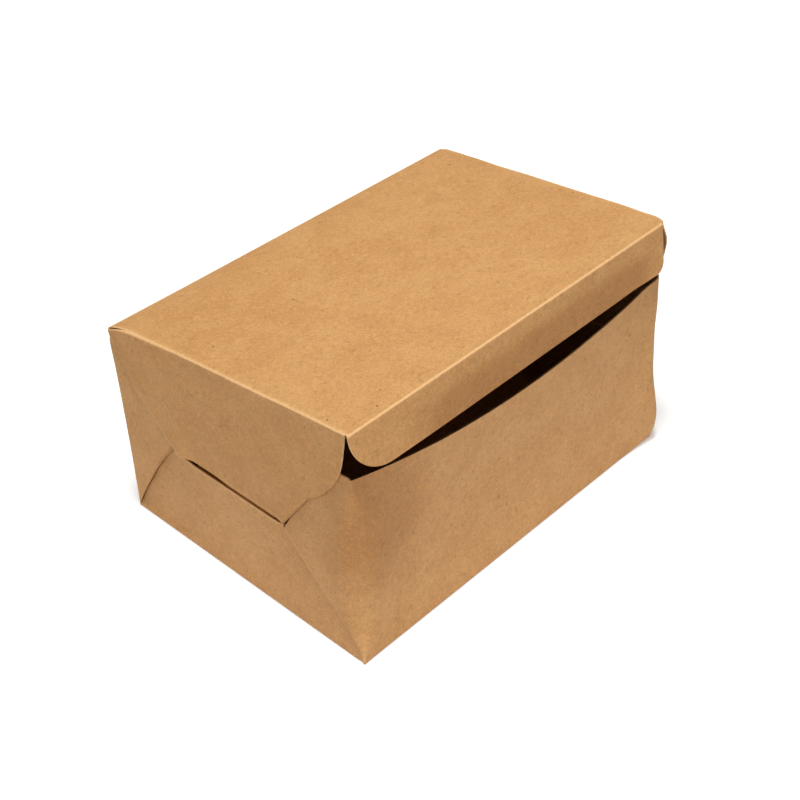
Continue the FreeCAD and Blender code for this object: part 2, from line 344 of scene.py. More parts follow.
def mixed(tree, factor, first, second, kind="MIX"):
    """Output of a colour mix: first at 0, second at 1."""
    node = tree.nodes.new("ShaderNodeMix")
    node.data_type = "RGBA"
    node.blend_type = kind
    for socket, value in ((node.inputs[0], factor), (node.inputs[6], first), (node.inputs[7], second)):
        if isinstance(value, bpy.types.NodeSocket):
            tree.links.new(value, socket)
        else:
            socket.default_value = value
    return node.outputs[2]


def tinted(colour, red, green, blue):
    """The colour with each channel scaled, in the form that a colour socket takes."""
    return colour[0] * red, colour[1] * green, colour[2] * blue, 1


def card_material(name, base, rub_and_highlight_colour, fleck_colour, roughness, rub_and_highlight_amount, painted_shade=(0.79, 0.72, 0.65)):
    """Kraft card. Where wear is above 0 it is pale, as rubbing and as painted highlight, and where wear is
    -1 it is scaled by the given tint, as painted shade.
    """
    material = bpy.data.materials.new(name)
    material.use_nodes = True
    tree = material.node_tree
    tree.nodes.clear()
    place = tree.nodes.new("ShaderNodeTexCoord").outputs["Object"]
    pulp = add(
        tree, "ShaderNodeGroup", {"node_tree": PULP},
        {"Place": place, "Cloud size": 75.0, "Fibre size": 560.0, "Fleck size": 150.0},
    )
    wear_and_painted_light = add(tree, "ShaderNodeAttribute", {"attribute_name": "wear_and_painted_light"})
    rub_and_highlight = add(
        tree, "ShaderNodeGroup", {"node_tree": RUB_AND_HIGHLIGHT},
        {"Place": place, "Wear and painted light": wear_and_painted_light.outputs["Fac"], "Break up": 0.9, "Amount": rub_and_highlight_amount},
    )
    dark_cloud, pale_cloud = tinted(base, 0.96, 0.93, 0.90), tinted(base, 1.04, 1.06, 1.08)
    dark_fibre, pale_fibre = tinted(base, 0.66, 0.54, 0.46), tinted(base, 1.30, 1.30, 1.30)
    tone = band(tree, pulp.outputs["Clouds"], 0.32, 0.68)
    colour = mixed(tree, tone, dark_cloud, pale_cloud)
    dark_fibres = math_node(tree, "MULTIPLY", pulp.outputs["Dark fibres"], 0.42)
    pale_fibres = math_node(tree, "MULTIPLY", pulp.outputs["Pale fibres"], 0.34)
    colour = mixed(tree, dark_fibres, colour, dark_fibre)
    colour = mixed(tree, pale_fibres, colour, pale_fibre)
    grain = band(tree, pulp.outputs["Grain"], 0.28, 0.72, 0.93, 1.07)
    streaks = band(tree, pulp.outputs["Streaks"], 0.30, 0.70, 0.945, 1.055)
    shade = math_node(tree, "MULTIPLY", grain, streaks)
    shaded = add(tree, "ShaderNodeVectorMath", {"operation": "SCALE"}, {0: colour, "Scale": shade})
    # Painted shade: darker towards the given tint where wear falls below 0.
    painted_shade_share = band(tree, wear_and_painted_light.outputs["Fac"], 0.0, -1.0)
    painted_shade_tint = mixed(tree, painted_shade_share, (1, 1, 1, 1), (*painted_shade, 1))
    colour = mixed(tree, 1.0, shaded.outputs[0], painted_shade_tint, "MULTIPLY")
    # Painted highlight, partly real rubbing: paler where wear is above 0.
    colour = mixed(tree, rub_and_highlight.outputs["Rubbed"], colour, (*rub_and_highlight_colour, 1))
    flecks = math_node(tree, "MULTIPLY", pulp.outputs["Flecks"], 0.8)
    colour = mixed(tree, flecks, colour, (*fleck_colour, 1))
    rough = band(tree, pulp.outputs["Grain"], 0.25, 0.75, roughness - 0.06, roughness + 0.06)
    height = math_node(
        tree, "ADD", math_node(tree, "MULTIPLY", pulp.outputs["Grain"], 0.7),
        math_node(tree, "MULTIPLY", pulp.outputs["Dark fibres"], -0.3),
    )
    bump = add(tree, "ShaderNodeBump", None, {"Strength": 0.25, "Distance": 0.12 * MM, "Height": height})
    skin = tree.nodes.new("ShaderNodeBsdfPrincipled")
    tree.links.new(colour, skin.inputs["Base Color"])
    tree.links.new(rough, skin.inputs["Roughness"])
    tree.links.new(bump.outputs["Normal"], skin.inputs["Normal"])
    skin.inputs["Specular IOR Level"].default_value = 0.25
    out = tree.nodes.new("ShaderNodeOutputMaterial")
    tree.links.new(skin.outputs[0], out.inputs["Surface"])
    return material


# The lid and the tray are one kraft card: the tray's copy is paler and bluer, as painted light from the
# floor's bounce.
lid_face = card_material(
    "kraft_card", base=(0.65, 0.344, 0.128), rub_and_highlight_colour=(0.90, 0.56, 0.27),
    fleck_colour=(0.16, 0.075, 0.03), roughness=0.72, rub_and_highlight_amount=0.9,
)
tray_face_bounce_tinted = card_material(
    "kraft_tray_bounce_tinted", base=(0.68, 0.372, 0.150), rub_and_highlight_colour=(0.86, 0.53, 0.26),
    fleck_colour=(0.16, 0.075, 0.03), roughness=0.72, rub_and_highlight_amount=0.8,
)
# On the cut edges, wear of -1 paints a near-black shadow line, beside a gusset's edge and under a side
# flap's straight edge.
cut_edge = card_material(
    "kraft_cut_edge", base=(0.78, 0.49, 0.25), rub_and_highlight_colour=(0.80, 0.52, 0.28),
    fleck_colour=(0.2, 0.1, 0.05), roughness=0.85, rub_and_highlight_amount=0.3, painted_shade=(0.1, 0.07, 0.05),
)
inner_face = card_material(
    "kraft_inside", base=(0.51, 0.300, 0.145), rub_and_highlight_colour=(0.74, 0.45, 0.21),
    fleck_colour=(0.14, 0.065, 0.03), roughness=0.80, rub_and_highlight_amount=0.6,
)
LID_SHEETS, TRAY_SHEETS = (lid_face, cut_edge, inner_face), (tray_face_bounce_tinted, cut_edge, inner_face)

# ---------------------------------------------------------------- tray

TRAY_MIDDLE = (0, 0, 30)
CORNER_ROUND = 8.5  # full radius of the upright front corners
# The curves below have (height, size) stops. Radius of each upright front corner:
LEFT_ROUND = [
    (0, 0.3), (4, 1.6), (8, 4.0), (14, 7.0), (25, CORNER_ROUND),
    (45, CORNER_ROUND), (60, 5.0), (68, 2.2), (75, 0.4),
]
RIGHT_ROUND = [
    (0, 1.5), (6, 5.0), (12, 7.0), (20, 8.0), (25, CORNER_ROUND),
    (45, CORNER_ROUND), (58, 6.5), (68, 2.4), (71, 0.9),
]
# How far the right one is pressed out:
RIGHT_PUSH = [
    (0, 0), (3, 1.5), (6, 2.9), (12, 4.0), (20, 3.5),
    (32, 2.4), (45, 2.1), (57, 1.7), (68, -0.1), (71, -0.7),
]
# Reach of the front webs and of the back gussets along the ends, from the front and the back wall:
WEB_EDGE = [(0, 0.5), (5, 0.7), (12.9, 8.3), (END_TOP, 31.3), (75, 11.0)]
GUSSET_EDGE = [
    (0, 0.3), (7.6, 3.9), (16.8, 9.0), (25.9, 14.2), (32.9, 18.9), (38.9, 23.5), (42, 25.0), (50, 24.0),
    (BACK_TOP, 16.0),
]
# How far the back wall bulges:
BACK_BULGE = [(0, 0.0), (22, 0.3), (43, 0.8), (60, 1.5), (70, 2.2), (BACK_TOP, 1.0)]
BACK_ROUND = 0.8  # radius of the upright back corners
FOOT_ROUND = 0.5  # radius of the front wall's foot
RIM_LEFT, RIM_RIGHT, RIM_SAG = 74.7, 70.3, 10.15  # heights of the rim's ends, and its sag between them
RIM_ZONE = 70.0  # the height at which the walls are followed to find the rim's places
WALL_HOLLOW, HOLLOW_TOP = 2.1, 66.0  # depth of the front wall's hollow, and where it ends
EDGE_PART = 0.98  # part at which a flank's last column but one lies, beside its cut edge
EDGE_WIDTH = 0.3  # width of the strip beside a cut edge that carries a painted highlight on some edges and a painted shadow line on others
LIGHT_LAP = 6.0  # extra reach of the right gusset, so that no light shows beside the tuck
NICK_PLACE, NICK_DEPTH = -21.1, 1.0  # nick in an end wall's top
EAR_START, EAR_RUN, EAR_HEIGHT = BACK - 23.8, 3.6, 4.4  # rise of an end wall's top at its back
END_BACK = BACK - 0.9  # where the floor and the end walls stop, short of the back wall
END_UNDER = 0.3  # how far an end wall goes in under the rounded front corner


def rim_height(x):
    """The front wall's curved top edge, lower and flatter towards its right end."""
    part = (x - LEFT) / LENGTH
    level = RIM_LEFT + (RIM_RIGHT - RIM_LEFT) * part
    flatter = hump((x - 35) / 40) ** 2 + 4.0 * eased(x, 65, 74)
    return level - RIM_SAG * (1 - (2 * part - 1) ** 2) - 0.3 * flatter


def corner_push(point):
    """The point, moved where the right front corner is pressed outwards, most near its foot."""
    near_end = eased(point.x, RIGHT - 26, RIGHT - 2)
    near_front = 1 - eased(point.y, FRONT + 4, FRONT + 34)
    way = Vector((1, -1, 0)).normalized()
    return point + way * curve_at(point.z, RIGHT_PUSH) * near_end * near_front


def end_lean(y, z):
    """How far the back corners lean outwards along the box, more towards the top."""
    return 0.6 * eased(y, BACK - 34, BACK) * max(0.0, z / BACK_TOP) ** 1.3


def back_bulge(x, z):
    """How far the back wall stands out behind, most at its left corner."""
    return curve_at(z, BACK_BULGE) * (0.4 + 0.6 * (1 - eased(x, LEFT, LEFT + 40)))


def strip_columns(flank, flank_count, corner_count, wall_count):
    """(name, part) of each column of a strip of card from one end, round two corners, to the other.

    A flank's part runs from 0 at its corner to 1 at its cut edge, a corner's from 0 at the end to 1 at
    the wall, and the wall's from left to right.
    """
    columns = [(f"left {flank}", part) for part in [1.0] + steps(EDGE_PART, 0, flank_count)]
    columns += [("left corner", part) for part in steps(0, 1, corner_count)[1:]]
    columns += [("wall", part) for part in steps(0, 1, wall_count)[1:]]
    columns += [("right corner", part) for part in steps(1, 0, corner_count)[1:]]
    columns += [(f"right {flank}", part) for part in steps(0, EDGE_PART, flank_count)[1:] + [1.0]]
    return columns


def corner_point(side, way, radius, part, z):
    """A point of an upright corner. side is -1 left or 1 right, and way is -1 front or 1 back."""
    turn = part * math.pi / 2
    wall = BACK if way > 0 else FRONT
    x = side * (RIGHT - radius + radius * math.cos(turn))
    return Vector((x, wall - way * radius + way * radius * math.sin(turn), z))


def front_point(kind, part, z):
    """A point of the front strip, before its foot is rounded."""
    side = -1 if kind.startswith("left") else 1
    radius = curve_at(z, LEFT_ROUND if side < 0 else RIGHT_ROUND)
    if kind.endswith("web"):
        reach = max(straight(z, WEB_EDGE), radius + 0.2) - radius
        along = reach if part == 1 else max(0.0, reach - EDGE_WIDTH) * part / EDGE_PART
        point = Vector((side * RIGHT, FRONT + radius + along, z))
        point.x -= side * 0.35 * eased(z, 33, 46) * eased(along, 0, 8)
    elif kind.endswith("corner"):
        point = corner_point(side, -1, radius, part, z)
    else:
        start, stop = LEFT + curve_at(z, LEFT_ROUND), RIGHT - curve_at(z, RIGHT_ROUND)
        hollow = WALL_HOLLOW * eased(part, 0, 0.1) * (1 - 0.75 * eased(part, 0.3, 1))
        point = Vector((start + (stop - start) * part, FRONT + hollow * hump(z / HOLLOW_TOP), z))
    return corner_push(point)


def front_painted_light_and_wear(kind, part, z):
    """Pale on the upright corners' feet, as rubbing and painted highlight, with a painted highlight along
    the webs' edges; painted shade at the foot and in the hollow by the left corner.
    """
    corner = 0.5 * kind.endswith("corner") * hump(part) * (1 - eased(z, 2, 16))
    edge = 0.6 * (kind.endswith("web") and part >= EDGE_PART and z < END_TOP)
    foot = 1 - eased(z, 0.15, 0.7)
    beside = {
        "left web": 0.5 * (1 - eased(part, 0, 0.8)), "left corner": 0.5 + 0.5 * part,
        "wall": 1 - eased(part, 0, 0.3),
    }.get(kind, 0.0)
    return max(corner, edge) - foot - beside * eased(z, 8, 46)


def build_front_of_tray(card):
    """Front wall with both upright corners and their webs, one strip of card."""
    columns = strip_columns("web", flank_count=16, corner_count=12, wall_count=90)
    tops = []
    for kind, part in columns:
        x = front_point(kind, part, RIM_ZONE).x
        tops.append(rim_height(math.copysign(RIGHT, x) if kind.endswith("web") else x))

    rows, wear_and_painted_light = [], []
    close_levels = [0.0, 0.001, 0.003, 0.006, 0.012, 0.022]  # for the rounded foot
    for level in close_levels + steps(0.04, 1, 64):
        row = []
        for (kind, part), top in zip(columns, tops):
            z = level * top
            point = front_point(kind, part, z)
            if kind == "wall":
                under = FOOT_ROUND * drawn_in(1 - z / FOOT_ROUND)
                point.y += under * eased(part, 0, 0.03) * (1 - eased(part, 0.97, 1))
            row.append(point)
        rows.append(row)
        wear_and_painted_light.append([front_painted_light_and_wear(kind, part, level * top) for (kind, part), top in zip(columns, tops)])
    card.patch(rows, TRAY_MIDDLE, wear_and_painted_light)


def build_back_of_tray(card):
    """Back wall with both back corners and their gussets."""
    radius = BACK_ROUND

    def place(kind, part, z):
        side = -1 if kind.startswith("left") else 1
        if kind.endswith("gusset"):
            width = max(curve_at(z, GUSSET_EDGE), radius)
            width += LIGHT_LAP * eased(z, 34.6, 36.4) * (1 - eased(z, 42, 52)) * (side > 0)
            point = Vector((side * RIGHT, BACK - radius - (width - radius) * part, z))
        elif kind.endswith("corner"):
            point = corner_point(side, 1, radius, part, z)
        else:
            point = Vector((LEFT + radius + (LENGTH - 2 * radius) * part, BACK, z))
        point.x += side * end_lean(point.y, z) * eased(abs(point.x), RIGHT - 20, RIGHT)
        point.y += back_bulge(point.x, z) * eased(point.y, BACK - 12, BACK)
        return point

    def painted_light_and_wear(kind, part, z):
        """A painted shadow line on a gusset's cut edge, and pale on the upright corners and a little at the
        foot, as rubbing and painted highlight.
        """
        edge = -1.0 if kind.endswith("gusset") and part >= EDGE_PART else 0.5 * kind.endswith("corner")
        return edge + 0.3 * (1 - eased(z, 0, 1.6))

    columns = strip_columns("gusset", flank_count=12, corner_count=4, wall_count=60)
    levels = [level * WALL_TOP for level in [0.0, 0.006] + steps(0.02, 1, 48)]
    rows = [[place(kind, part, z) for kind, part in columns] for z in levels]
    card.patch(rows, TRAY_MIDDLE, [[painted_light_and_wear(kind, part, z) for kind, part in columns] for z in levels])


def end_top(y):
    """Height of an end wall: a nick for the side flap's front tip, and an ear under its back edge."""
    ear = EAR_HEIGHT * held((y - EAR_START) / EAR_RUN)
    return END_TOP - NICK_DEPTH * max(0.0, 1 - abs(y - NICK_PLACE)) + ear


def end_inset(y, z):
    """How far an end wall stands in from the box's full length, under its web and its gusset."""
    web_line = FRONT + straight(z, WEB_EDGE)
    bowed = 0.05 + 0.8 * (1 - (1 - z / END_TOP) ** 2)
    under_web = 0.56 * (1 - eased(y, web_line + 0.2, web_line + 1.6))
    under_gusset = 0.9 * eased(y, BACK - 38, BACK - 14) * eased(z, 0.4, 4) * (1 - 0.75 * z / END_TOP)
    pushed_out = 0.36 * eased(z, 15, 33) * eased(y, NICK_PLACE, NICK_PLACE + 6) * (1 - eased(y, 20, 27))
    return max(bowed, under_web) + under_gusset - pushed_out


def end_section(place, front):
    """Inset, y, height and wear down an end wall and round the fold at its foot, at one place along it. The
    wear is pale along the top edge, as rubbing and painted highlight, and a painted shade line at the foot.

    The wall's front edge keeps under the rounded corner, so the rows fan out from front at its widest.
    """
    fold = 0.5
    top = end_top(place)
    section = [(0.0, fold + (top - fold) * part) for part in steps(1, 0, 24)]
    for part in steps(0, 1, 4)[1:]:
        turn = part * math.pi / 2
        section.append((fold - fold * math.cos(turn), fold - fold * math.sin(turn)))
    points = []
    for folded_in, z in section:
        start = FRONT + max(0.8, curve_at(z, LEFT_ROUND) - END_UNDER)
        y = END_BACK - (END_BACK - place) * (END_BACK - start) / (END_BACK - front)
        # Pale along the top edge, as rubbing and painted highlight, and painted shade at the foot.
        painted_light_and_wear = 0.9 * eased(z, top - 0.8, top - 0.1) - 1 + eased(z, 0.15, 0.6)
        points.append((end_inset(y, z) + folded_in, y, z, painted_light_and_wear))
    return points


def build_floor_and_ends(card):
    """Floor and the two low end walls, folded up from it."""
    front = FRONT + CORNER_ROUND - END_UNDER
    places = sorted(steps(front, END_BACK, 56) + steps(NICK_PLACE - 1, NICK_PLACE + 1, 4))
    rows, wear_and_painted_light = [], []
    for place in places:
        half = end_section(place, front)
        floor = [RIGHT * part for part in steps(-1, 1, 20)[1:-1]]
        row = [Vector((LEFT + inset, y, z)) for inset, y, z, _ in half]
        row += [Vector((x, half[-1][1], 0.0)) for x in floor]
        row += [Vector((RIGHT - inset, y, z)) for inset, y, z, _ in reversed(half)]
        rows.append(row)
        painted_light_and_wear = [w for _, _, _, w in half]
        wear_and_painted_light.append(painted_light_and_wear + [0.0] * len(floor) + painted_light_and_wear[::-1])
    card.patch(rows, TRAY_MIDDLE, wear_and_painted_light)


tray_card = Card("tray_card")
build_front_of_tray(tray_card)
build_back_of_tray(tray_card)
build_floor_and_ends(tray_card)
tray_piece = tray_card.finish(TRAY_SHEETS)

# ---------------------------------------------------------------- lid

# Places on the lid are u, forwards from the hinge, and w, down from the lid's underside.
FOLD = 0.6  # outer radius of the lid's folds
FOLD_MIDDLE = FOLD - CARD  # w of their centre line
BACK_SEAM, FRONT_SEAM = 1.4, LID_DEPTH + 1.4 - FOLD  # u where the panel meets its back and front folds
SLIT = 10.0  # u where the slit between the panel and a side flap ends
TUCK_BACK, TUCK_FRONT = 23.6, 68.9  # u of the two ends of the tuck
TUCK_GAP = 0.2  # gap above the end wall
TONGUE_BACK, TONGUE_FRONT = TUCK_BACK + 1, 63.6
TONGUE_DEPTH, TONGUE_ROUND = 9.0, 3.0  # depth of a tongue, and the radius of its corners
# Outline of a side flap as (u, w): the back edge, the front tip, the straight edge and the cheek.
FLAP_EDGE = [
    (-0.3, 1.6), (0.5, 3.8), (1.5, 6.9), (3.1, 11.2), (4.8, 15.9), (6.3, 19.2),
    (9.8, 24.0), (13.3, 29.2), (16.7, 34.0), (20.4, 38.8), (TUCK_BACK, 42.3),
]
TIP, CHEEK_START = (TUCK_FRONT, 47.0), (83.9, 31.3)
CHEEK = [
    (84.2, 30.9), (89.4, 28.2), (94.7, 23.2), (98.3, 18.9),
    (100.4, 15.9), (102.2, 12.0), (104.6, 4.3), (105.8, 0.6),
]
CHEEK_END = CHEEK[-1][0]
# Rise of the panel along its left and right folds, as (u, rise):
LEFT_CROWN = [(0, 0.05), (5, 1.2), (11.5, 1.75), (26, 1.7), (45, 1.45), (67, 0.95), (88, 0.7), (107, 0.2)]
RIGHT_CROWN = [(0, 0.3), (5, 0.7), (19, 0.7), (32, 0.4), (58, 0.2), (107, 0)]
BELLY = 0.45  # further rise of its middle
# The lid's right corners are rounded: length and depth of each.
FRONT_CORNER_START, FRONT_CORNER_LENGTH, FRONT_CORNER_DEPTH = 100.6, 6.2, 3.0
BACK_CORNER_LENGTH, BACK_CORNER_DEPTH = 4.0, 1.2
CHEEK_BULGE, FLAP_BULGE = 3.3, 0.35  # how far the right cheek and both side flaps bulge
FOLD_RUB_AND_HIGHLIGHT = 0.55  # pale where the panel meets its folds, as rubbing and painted highlight


def lid_point(x, u, w):
    """A point of the lid, from x along the box and its place u, w."""
    y = LID_HINGE.y - u * math.cos(TILT) - w * math.sin(TILT)
    return Vector((x, y, LID_HINGE.z + u * math.sin(TILT) - w * math.cos(TILT)))


LID_MIDDLE = lid_point(0, 50, 40)


def crown(x, u):
    """How far the lid's panel rises above flat between its folds."""
    side = held((x - LEFT) / LENGTH)
    belly = BELLY * hump(side) * hump(u / LID_DEPTH)
    return curve_at(u, LEFT_CROWN) * (1 - side) + curve_at(u, RIGHT_CROWN) * side + belly


def edge_in(side, u):
    """How far a side fold stands in from the lid's full width: the right one ends in round corners."""
    if side < 0:
        return 0.0
    along = 0.5 * (1 - eased(u, 28, 45)) + 0.6 * eased(u, 15, 75) + 0.6 * eased(u, 86, 98)
    front = FRONT_CORNER_DEPTH * drawn_in((u - FRONT_CORNER_START) / FRONT_CORNER_LENGTH)
    return along + front + BACK_CORNER_DEPTH * drawn_in(1 - u / BACK_CORNER_LENGTH)


def shoulder(u):
    """Depth below the lid at which a side flap meets the end wall's top edge."""
    return (LID_HINGE.z - END_TOP - TUCK_GAP + u * math.sin(TILT)) / math.cos(TILT)


def flap_drop(side, u):
    """Depth of a side flap's cut edge, the right one's cheek being pulled back a little."""
    if u <= TUCK_BACK:
        return min(curve_at(u, FLAP_EDGE), shoulder(u))
    if u <= TUCK_FRONT:
        return shoulder(u) - 2.0 * eased(u, TUCK_FRONT - 1.5, TUCK_FRONT) ** 2
    if side > 0:
        u -= 2.0 * eased(u, 84, 90) * (1 - eased(u, 100, 104.5))
    if u <= CHEEK_START[0]:
        return straight(u, [TIP, CHEEK_START])
    return curve_at(u, CHEEK)


def tuck_in(u, w):
    """How far a side flap bends inwards, gently and then in one short step, to pass behind the end wall."""
    along = eased(u, TUCK_BACK - 1, TUCK_BACK + 5) * (1 - eased(u, TUCK_FRONT - 4, TUCK_FRONT + 0.3))
    lean = 1.1 * along * eased(w, shoulder(u) - 22, shoulder(u) - 1.5)
    tucked = eased(u, TUCK_BACK - 1.6, TUCK_BACK - 0.4) * (1 - eased(u, TUCK_FRONT - 0.7, TUCK_FRONT))
    deep = 2.15 + 1.5 * (1 - eased(u, TUCK_BACK + 3, TUCK_BACK + 20))
    return lean + (deep * tucked - lean) * eased(w, shoulder(u) - 2.1, shoulder(u) - 0.5)


def fold_place(side, u, turn):
    """x and w of a side fold's round, from level at 0 to upright at 1."""
    angle = turn * math.pi / 2
    x = side * (LID_HALF - edge_in(side, u) - FOLD + FOLD * math.sin(angle))
    return x, FOLD_MIDDLE - FOLD * math.cos(angle) - crown(side * LID_HALF, u)


def slip_down(u):
    """How far a side flap's top edge has slipped below the panel, along the slit from the hinge."""
    return 0.25 * (1 - eased(u, 0, SLIT))


def panel_painted_light_and_wear(x, u):
    """Pale beside the front fold, as rubbing and painted highlight, and painted shade darkening towards the
    panel's back left corner.
    """
    rub_and_highlight_level = FOLD_RUB_AND_HIGHLIGHT if u == FRONT_SEAM else 0.2 * (u > FRONT_SEAM - 0.5)
    return rub_and_highlight_level - 0.35 * (1 - eased((x - LEFT) / LENGTH + 0.6 * u / LID_DEPTH, 0, 1))


def build_lid_panel(card, rows_u, turns):
    """Top panel with the upper halves of its two side folds."""
    panel, wear_and_painted_light = [], []
    for u in rows_u:
        xs = steps(FOLD - LID_HALF, LID_HALF - edge_in(1, u) - FOLD, 96)
        row = [lid_point(x, u, -CARD - crown(x, u)) for x in xs]
        # Pale at the folds, as rubbing and painted highlight, and the panel's own painted light between.
        painted_light_and_wear = [FOLD_RUB_AND_HIGHLIGHT] + [panel_painted_light_and_wear(x, u) for x in xs[1:-1]] + [FOLD_RUB_AND_HIGHLIGHT]
        for turn in turns[1:]:
            for side in (-1, 1):
                x, w = fold_place(side, u, turn)
                at = 0 if side < 0 else len(row)
                row.insert(at, lid_point(x, u, w))
                painted_light_and_wear.insert(at, FOLD_RUB_AND_HIGHLIGHT + 0.9 * turn)
        panel.append(row)
        wear_and_painted_light.append(painted_light_and_wear)
    card.patch(panel, LID_MIDDLE, wear_and_painted_light)


def flap_point(side, u, w):
    """A point of a side flap's face, or of the tongue below it."""
    lift = crown(side * LID_HALF, u) * (1 - eased(w, 2, 38)) - slip_down(u) * (1 - eased(w, 2, 30))
    outward = edge_in(side, u) * eased(w, 0, 12)
    if side > 0:
        outward += CHEEK_BULGE * eased(w, -2, 12) * eased(u, 66, 98) * (1 - eased(w, 20, 38))
    outward += FLAP_BULGE * hump(u / LID_DEPTH) * eased(w, 2, 20) * (1 - eased(w, 26, 44))
    point = lid_point(side * (LID_HALF - edge_in(side, u) + outward - tuck_in(u, w)), u, w - lift)
    point.x += side * (0.1 + end_lean(point.y, point.z)) * (1 - eased(u, 20, 40))
    return point


def edge_painted_light(u):
    """A painted highlight along a side flap's back edge, a painted shadow line along its straight edge, and
    a slight painted highlight at its cheek.
    """
    if u < TUCK_BACK:
        return 0.75
    return 1.3 * eased(u, 90, 101) - 1 if u > TUCK_FRONT else 0.0


def build_side_flap(card, side, rows_u, turns):
    """Side flap with the lower half of its fold, and the tongue behind the end wall."""
    rows, wear_and_painted_light = [], []
    for u in rows_u:
        row, painted_light_and_wear = [], []
        out = flap_point(side, u, FOLD_MIDDLE).x - side * (LID_HALF - edge_in(side, u))
        for turn in turns:
            x, w = fold_place(side, u, turn)
            share = max(eased(turn, 0.5, 1.0), 1 - eased(u, 0, SLIT))
            row.append(lid_point(x + out * share, u, w + slip_down(u)))
            # Painted highlight, partly rubbing, along the fold's round.
            painted_light_and_wear.append(1.0 - 1.5 * (turn - 0.5))
        deep = flap_drop(side, u) - FOLD_MIDDLE
        line = min(EDGE_WIDTH, deep / 4) / deep
        for part in steps(0, 1 - line, 45)[1:] + [1.0]:
            w = FOLD_MIDDLE + deep * part
            row.append(flap_point(side, u, w))
            at_edge = part > 0.999 - line  # the last two points
            # The cut edge's painted light, and a pale band just below the fold, as rubbing and painted
            # highlight.
            painted_light_and_wear.append(edge_painted_light(u) * at_edge + 0.25 * (1 - eased(w, 0.7, 2.2)))
        rows.append(row)
        wear_and_painted_light.append(painted_light_and_wear)
    card.patch(rows, LID_MIDDLE, wear_and_painted_light)
    tongue = []
    for u in [u for u in rows_u if TONGUE_BACK + 1 <= u <= TONGUE_FRONT - 1]:
        end = min(u - TONGUE_BACK, TONGUE_FRONT - u)
        depth = TONGUE_DEPTH - TONGUE_ROUND * drawn_in(1 - end / TONGUE_ROUND)
        tongue.append([flap_point(side, u, flap_drop(side, u) + depth * part) for part in steps(0, 1, 9)])
    card.patch(tongue, LID_MIDDLE)


def build_lid(card):
    """Top panel and both side flaps. Their rows share most places u, and lie closest where it bends."""
    panel_back = [BACK_SEAM, 2.2, 3.2, 4.2, 5.2, 6.2, 7.4, 8.7]
    flap_back = [-0.3, 0.1, 0.5, 1.0, 1.5, 2.0, 2.6, 3.1, 3.7, 4.2, 4.8, 5.5, 6.3, 7.2, 8.1, 9.0]
    middle = steps(SLIT, TUCK_BACK - 2, 12) + steps(TUCK_BACK + 1.3, TUCK_FRONT - 2.2, 44)
    middle += steps(TUCK_FRONT + 1.4, 95, 26) + [CHEEK_START[0]]
    for tuck_end in (TUCK_BACK, TUCK_FRONT):
        middle += steps(tuck_end - 1.5, tuck_end + 0.6, 10)
    shared = sorted(middle) + steps(96, 101, 5) + steps(101.6, CHEEK_END, 9)
    turns = steps(0, 1, 8)
    build_lid_panel(card, panel_back + shared + [106.3, FRONT_SEAM], turns[:5])
    for side in (-1, 1):
        build_side_flap(card, side, flap_back + shared, turns[4:])


lid_card = Card("lid_card")
build_lid(lid_card)
lid_piece = lid_card.finish(LID_SHEETS)

# ---------------------------------------------------------------- front flap and back fold

FLAP_LEFT_EDGE, FLAP_RIGHT_EDGE = -LID_HALF - 0.1, FLAP_RIGHT - 1.0
FLAP_LEFT_ROUND, FLAP_RIGHT_ROUND = 15.9, 3.6
FLAP_DEPTH, FLAP_SLANT = 16.2, 0.6  # depth of the front flap, and how much deeper it is at its right end


def front_flap_columns():
    """Places along the front flap, closest in its two rounded corners."""
    turns = [part * math.pi / 2 for part in steps(0, 1, 22)]
    xs = [FLAP_LEFT_EDGE + FLAP_LEFT_ROUND * (1 - math.cos(turn)) for turn in turns]
    xs += steps(FLAP_LEFT_EDGE + FLAP_LEFT_ROUND, FLAP_RIGHT_EDGE - FLAP_RIGHT_ROUND, 84)[1:]
    turns = [part * math.pi / 2 for part in steps(0, 1, 10)]
    return xs + [FLAP_RIGHT_EDGE - FLAP_RIGHT_ROUND * (1 - math.sin(turn)) for turn in turns][1:]


def front_flap_drop(x):
    """Depth of the front flap's lower edge, with its rounded corners."""
    depth = FLAP_DEPTH + FLAP_SLANT * eased(x, 54, 68)
    depth -= FLAP_LEFT_ROUND * drawn_in(1 - (x - FLAP_LEFT_EDGE) / FLAP_LEFT_ROUND)
    return depth - FLAP_RIGHT_ROUND * drawn_in(1 - (FLAP_RIGHT_EDGE - x) / FLAP_RIGHT_ROUND)


def between_corners(x, from_left, to_left, from_right):
    """1 along the front flap's middle, fading out towards its left and right edges."""
    left = eased(x, FLAP_LEFT_EDGE + from_left, FLAP_LEFT_EDGE + to_left)
    return left * (1 - eased(x, FLAP_RIGHT_EDGE - from_right, FLAP_RIGHT_EDGE))


def front_flap_point(x, part):
    """A point of the front flap's face, from its fold at 0 to its edge at 1, curled in at its middle."""
    w = FOLD_MIDDLE + (front_flap_drop(x) - FOLD_MIDDLE) * part
    lift = crown(x, FRONT_SEAM) * (1 - eased(w, 2, 14))
    curl = (0.05 * w + 0.7 * (w / 16) ** 2.5) * between_corners(x, 6, 40, 30)
    return lid_point(x, FRONT_SEAM + FOLD - curl, w - lift + 1.1 * curl)


def front_flap_painted_light_and_wear(x, part):
    """Pale beside the fold, as rubbing and painted highlight, and painted shade where the flap curls in
    away from the light.
    """
    tone = 0.9 * eased(part, 0.1, 0.6) * between_corners(x, 16, 45, 16)
    return 0.3 * (1 - eased(part, 0.0, 0.12)) - tone


